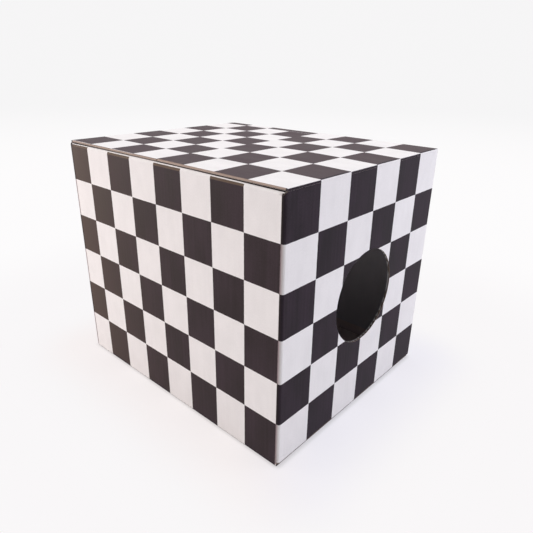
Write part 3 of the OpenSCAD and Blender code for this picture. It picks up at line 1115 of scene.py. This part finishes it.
class CONDO_OT_printed_flaps(bpy.types.Operator):
    """Prints the outer flaps of the top and the bottom"""

    bl_idname = "condo.printed_flaps"
    bl_label = "Printed flaps"

    def execute(self, context):
        for board in outer_flap_boards():
            end, side = board.name.split("_")[:2]
            # The bottom flaps' cut edges are dark with painted shade
            skins = [material("printed_flap"), material("cut_edge" if end == "top" else "scuffed_edge")]
            piece = liner_sheet(
                f"{board.name}_print", board, lambda points: print_on_flap(end, side, points), skins,
                sheen_on_flap)
            dress_liner(piece, board)
        return {"FINISHED"}


class CONDO_OT_inner_flaps(bpy.types.Operator):
    """Covers the inner flaps, which are bare white paper outside"""

    bl_idname = "condo.inner_flaps"
    bl_label = "Inner flaps"

    def execute(self, context):
        values = settings().board
        skins = [material("white_liner"), material("crease_shade"), material("cut_edge")]
        # On the top, the row of faces beside the fold holds painted shade, for the gap under the outer flaps
        first_row = (np.arange(values.liner_rows) == 0).astype(np.int32)
        for board in inner_flap_boards():
            on_top = board.name.startswith("top")
            piece = liner_sheet(
                f"{board.name}_liner", board, lambda points: points[..., :2], skins,
                crown=values.crown if on_top else 0.0, bands=first_row if on_top else None)
            dress_liner(piece, board)
        return {"FINISHED"}


class CONDO_OT_outer_folds(bpy.types.Operator):
    """Carries the print over the folds of the outer flaps, half on the wall and half on the flap"""

    bl_idname = "condo.outer_folds"
    bl_label = "Outer folds"

    def execute(self, context):
        printed, darkened = material("printed_liner"), material("crease_shade")
        values = settings().board
        steps = values.fold_steps // 2
        radius = BOARD / 2
        lower = arc(0, np.pi / 4, steps)
        upper = arc(np.pi / 4, np.pi / 2, steps)
        wall_path = np.concatenate([[(radius, values.fold_room - radius)], lower * radius])
        wall_normals = np.concatenate([[(1, 0)], lower])
        flap_normals = np.concatenate([upper, [(0, 1)]])
        share = np.arange(len(wall_path) - 1) / len(wall_path)
        for end, side, flap, hinge, gap in folds_of(outer_flap_boards()):
            wall = wall_board(side)
            # On the bottom, the wall's lower rows and the flap's half carry painted shade, the dark line at the
            # floor
            bands = (share >= values.foot_print).astype(np.int32) if end == "bottom" else None
            on_wall = fold_sheet(
                f"{side}_{end}_fold_wall_print", wall, hinge, wall_path, wall_normals,
                lambda points: print_on_wall(side, points), [printed, darkened], bands)
            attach(on_wall, "sleeve")
            flap_path = np.concatenate([upper * radius, [(-gap, radius)]])
            on_flap = fold_sheet(
                f"{side}_{end}_fold_flap_print", wall, hinge, flap_path, flap_normals,
                lambda points: print_on_flap(end, side, points), [printed if end == "top" else darkened])
            on_flap.data.transform(flap.place @ flap.level.inverted())
            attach(on_flap, flap.body)
            dress_node(f"{side}_{end}_crease", "front_fold_core" if end == "top" else "side_fold_core")
        return {"FINISHED"}


class CONDO_OT_inner_folds(bpy.types.Operator):
    """Bends the liner over the folds of the inner flaps, where the print ends"""

    bl_idname = "condo.inner_folds"
    bl_label = "Inner folds"

    def execute(self, context):
        values = settings().board
        skins = [material(name) for name in ("printed_liner", "white_liner", "crease_shade", "cut_edge")]
        radius = BOARD
        quarter = arc(0, np.pi / 2, values.fold_steps)
        normals = np.concatenate([quarter, [(0, 1)]])
        share = np.arange(len(quarter)) / values.fold_steps
        # Skin of each row: print, bare paper and painted shade on the top, and only print and painted shade on the
        # bottom
        bands = {
            "top": np.digitize(share, [values.fold_print, values.fold_shade]).astype(np.int32),
            "bottom": np.where(share < values.foot_print, 0, 2).astype(np.int32),
        }
        for end, side, flap, hinge, gap in folds_of(inner_flap_boards()):
            path = np.concatenate([quarter * radius, [(-gap, radius)]])
            piece = fold_sheet(
                f"{side}_{end}_fold_liner", wall_board(side), hinge, path, normals,
                lambda points: print_on_wall(side, points), skins, bands[end],
                lambda points: wear_and_light_on_fold(side, points), values.crown if end == "top" else 0.0)
            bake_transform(piece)
            dress_node(f"{side}_{end}_crease", "crushed_board")
        return {"FINISHED"}


class CONDO_OT_fluting(bpy.types.Operator):
    """Makes the fluted sheets that show at the cut edges"""

    bl_idname = "condo.fluting"
    bl_label = "Fluting"

    def execute(self, context):
        tree, sockets = fluting_tree()
        for board in wall_boards() + outer_flap_boards() + inner_flap_boards():
            fluting_piece(board, tree, sockets)
        return {"FINISHED"}


class CONDO_OT_inside(bpy.types.Operator):
    """Gives the inside of the box its grey paper, with painted shade towards the floor and on cut edges"""

    bl_idname = "condo.inside"
    bl_label = "Inside"

    def execute(self, context):
        for board in wall_boards():
            paper = "entrance_liner" if board.name == "front_wall" else "grey_liner"
            dress_node(f"{board.name}_inner_liner", paper)
        for board in outer_flap_boards() + inner_flap_boards():
            dress_node(f"{board.name}_inner_liner", "flap_liner")
        dress_node("glue_tab", "grey_liner")
        return {"FINISHED"}


# Studio


def seen_or_mirrored(tree):
    """1 for rays from the camera, from mirrors and through glass, which show the backdrop as it is."""
    path = add_node(tree, "ShaderNodeLightPath").outputs
    both = math_node(tree, "MAXIMUM", path["Is Camera Ray"], path["Is Glossy Ray"])
    return math_node(tree, "MAXIMUM", both, path["Is Transmission Ray"])


def floor_material():
    """Pale floor that keeps the box's soft shadow, with a glow that holds painted warm and cool light and painted
    shade near the box, and fades into the backdrop.
    """
    values = settings().studio
    made, tree, shader = new_material("pale_floor")
    shader.inputs["Base Color"].default_value = (*values.floor, 1)
    shader.inputs["Roughness"].default_value = 0.9
    shader.inputs["Specular IOR Level"].default_value = 0.1
    place = add_node(tree, "ShaderNodeTexCoord").outputs["Object"]
    beside = vector_math(tree, "ABSOLUTE", place)
    beside = vector_math(tree, "SUBTRACT", beside, (BOX_HALF_W, BOX_HALF_D, 1))
    beside = vector_math(tree, "MAXIMUM", beside)
    distance = add_node(tree, "ShaderNodeVectorMath", {0: beside}, operation="LENGTH").outputs["Value"]
    round_corner = math_node(tree, "SUBTRACT", coordinate(tree, place, "X"), coordinate(tree, place, "Y"))
    # Painted warm light beside the left wall and cool light before the front wall
    colour = mix_colour(tree, ramp(tree, round_corner, *CORNER_GLOW), values.left_glow, values.front_glow)
    colour = mix_colour(tree, ramp(tree, distance, *NEAR_GLOW), colour, values.floor_glow)
    colour = mix_colour(tree, ramp(tree, distance, *FAR_GLOW), colour, values.far_glow)
    colour = mix_colour(tree, ramp(tree, distance, *BACKDROP_GLOW), colour, values.backdrop)
    glow = add_node(tree, "ShaderNodeEmission", {"Color": colour, "Strength": 1.0})
    touching = ramp(tree, distance, 0.0, values.contact, FOOT_SHARE, values.near_share)
    further = ramp(tree, distance, values.contact, SHADOW_REACH, 0.0, 1 - values.near_share)
    factor = product(tree, math_node(tree, "ADD", touching, further), seen_or_mirrored(tree))
    mixed = add_node(tree, "ShaderNodeMixShader", {0: factor, 1: shader.outputs[0], 2: glow.outputs[0]})
    tree.links.new(mixed.outputs[0], tree.nodes["Material Output"].inputs["Surface"])
    return made


def area_lamp(name, place, width, power, tint):
    """Soft square lamp that faces the middle of the box."""
    lamp = bpy.data.lights.new(name, "AREA")
    lamp.shape = "SQUARE"
    lamp.size = width
    lamp.energy = power
    lamp.color = tint
    holder = bpy.data.objects.new(name, lamp)
    bpy.context.scene.collection.objects.link(holder)
    aim = UP * LAMP_AIM - Vector(place)
    holder.matrix_world = Matrix.Translation(place) @ aim.to_track_quat("-Z", "Y").to_matrix().to_4x4()


def make_floor():
    """Wide floor just below the box."""
    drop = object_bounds()[0][2] - FLOOR_DROP
    corners = [(x * FLOOR_REACH, y * FLOOR_REACH, drop) for x, y in ((-1, -1), (1, -1), (1, 1), (-1, 1))]
    mesh = bpy.data.meshes.new("floor")
    mesh.from_pydata(corners, [], [(0, 1, 2, 3)])
    mesh.materials.append(floor_material())
    new_piece("floor", mesh)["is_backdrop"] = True


def make_world():
    """Even pale light from all sides, with the backdrop's colour in the picture."""
    values = settings().studio
    world = bpy.data.worlds.new("Studio")
    bpy.context.scene.world = world
    world.use_nodes = True
    tree = world.node_tree
    light = tree.nodes["Background"]
    light.inputs["Color"].default_value = (1, 1, 1, 1)
    light.inputs["Strength"].default_value = values.sky
    seen = add_node(tree, "ShaderNodeBackground", {"Color": (*values.backdrop, 1), "Strength": 1.0})
    mixed = add_node(tree, "ShaderNodeMixShader", {
        0: seen_or_mirrored(tree), 1: light.outputs[0], 2: seen.outputs[0]})
    tree.links.new(mixed.outputs[0], tree.nodes["World Output"].inputs["Surface"])


def make_camera():
    """Camera at the picture's viewing angle."""
    values = settings().studio
    camera = bpy.data.cameras.new("Camera")
    camera.lens = values.lens
    camera.sensor_width = 36
    camera.clip_end = 100
    holder = bpy.data.objects.new("Camera", camera)
    bpy.context.scene.collection.objects.link(holder)
    holder.matrix_world = (
        Matrix.Translation(values.camera_place)
        @ Matrix.Rotation(values.camera_turn, 4, "Z")
        @ Matrix.Rotation(math.pi / 2 + values.camera_tilt, 4, "X")
        @ Matrix.Rotation(values.camera_roll, 4, "Z"))
    bpy.context.scene.camera = holder


class CONDO_OT_studio(bpy.types.Operator):
    """Sets the pale floor, the soft lamps, the backdrop and the camera"""

    bl_idname = "condo.studio"
    bl_label = "Studio"

    def execute(self, context):
        values = settings().studio
        make_floor()
        powers = {"key": values.key_power, "fill": values.fill_power, "top": values.top_power}
        for name, (place, width, tint) in LAMPS.items():
            area_lamp(f"{name}_lamp", place, width, powers[name], tint)
        make_world()
        make_camera()
        context.scene.view_settings.view_transform = "Standard"
        return {"FINISHED"}


class CONDO_PT_panel(bpy.types.Panel):
    """Lists the steps that dress the box"""

    bl_idname = "CONDO_PT_panel"
    bl_label = "Cat condo"
    bl_space_type = "VIEW_3D"
    bl_region_type = "UI"
    bl_category = "Cat condo"

    def draw(self, context):
        for operator in OPERATORS:
            self.layout.operator(operator.bl_idname)


OPERATORS = (
    CONDO_OT_printed_walls,
    CONDO_OT_printed_corners,
    CONDO_OT_printed_flaps,
    CONDO_OT_inner_flaps,
    CONDO_OT_outer_folds,
    CONDO_OT_inner_folds,
    CONDO_OT_fluting,
    CONDO_OT_inside,
    CONDO_OT_studio,
)
GROUPS = {"condo_print": CondoPrint, "condo_board": CondoBoard, "condo_studio": CondoStudio}


def register():
    """Registers the values, the steps and the panel."""
    for name, group in GROUPS.items():
        bpy.utils.register_class(group)
        setattr(bpy.types.Scene, name, bpy.props.PointerProperty(type=group))
    for step in (*OPERATORS, CONDO_PT_panel):
        bpy.utils.register_class(step)


def unregister():
    """Removes the panel, the steps and the values."""
    for step in (CONDO_PT_panel, *reversed(OPERATORS)):
        bpy.utils.unregister_class(step)
    for name, group in GROUPS.items():
        delattr(bpy.types.Scene, name)
        bpy.utils.unregister_class(group)


def main():
    """Dresses the box step by step."""
    register()
    bpy.ops.condo.printed_walls()
    bpy.ops.condo.printed_corners()
    bpy.ops.condo.printed_flaps()
    bpy.ops.condo.inner_flaps()
    bpy.ops.condo.outer_folds()
    bpy.ops.condo.inner_folds()
    bpy.ops.condo.fluting()
    bpy.ops.condo.inside()
    bpy.ops.condo.studio()


if __name__ == "__main__":
    main()
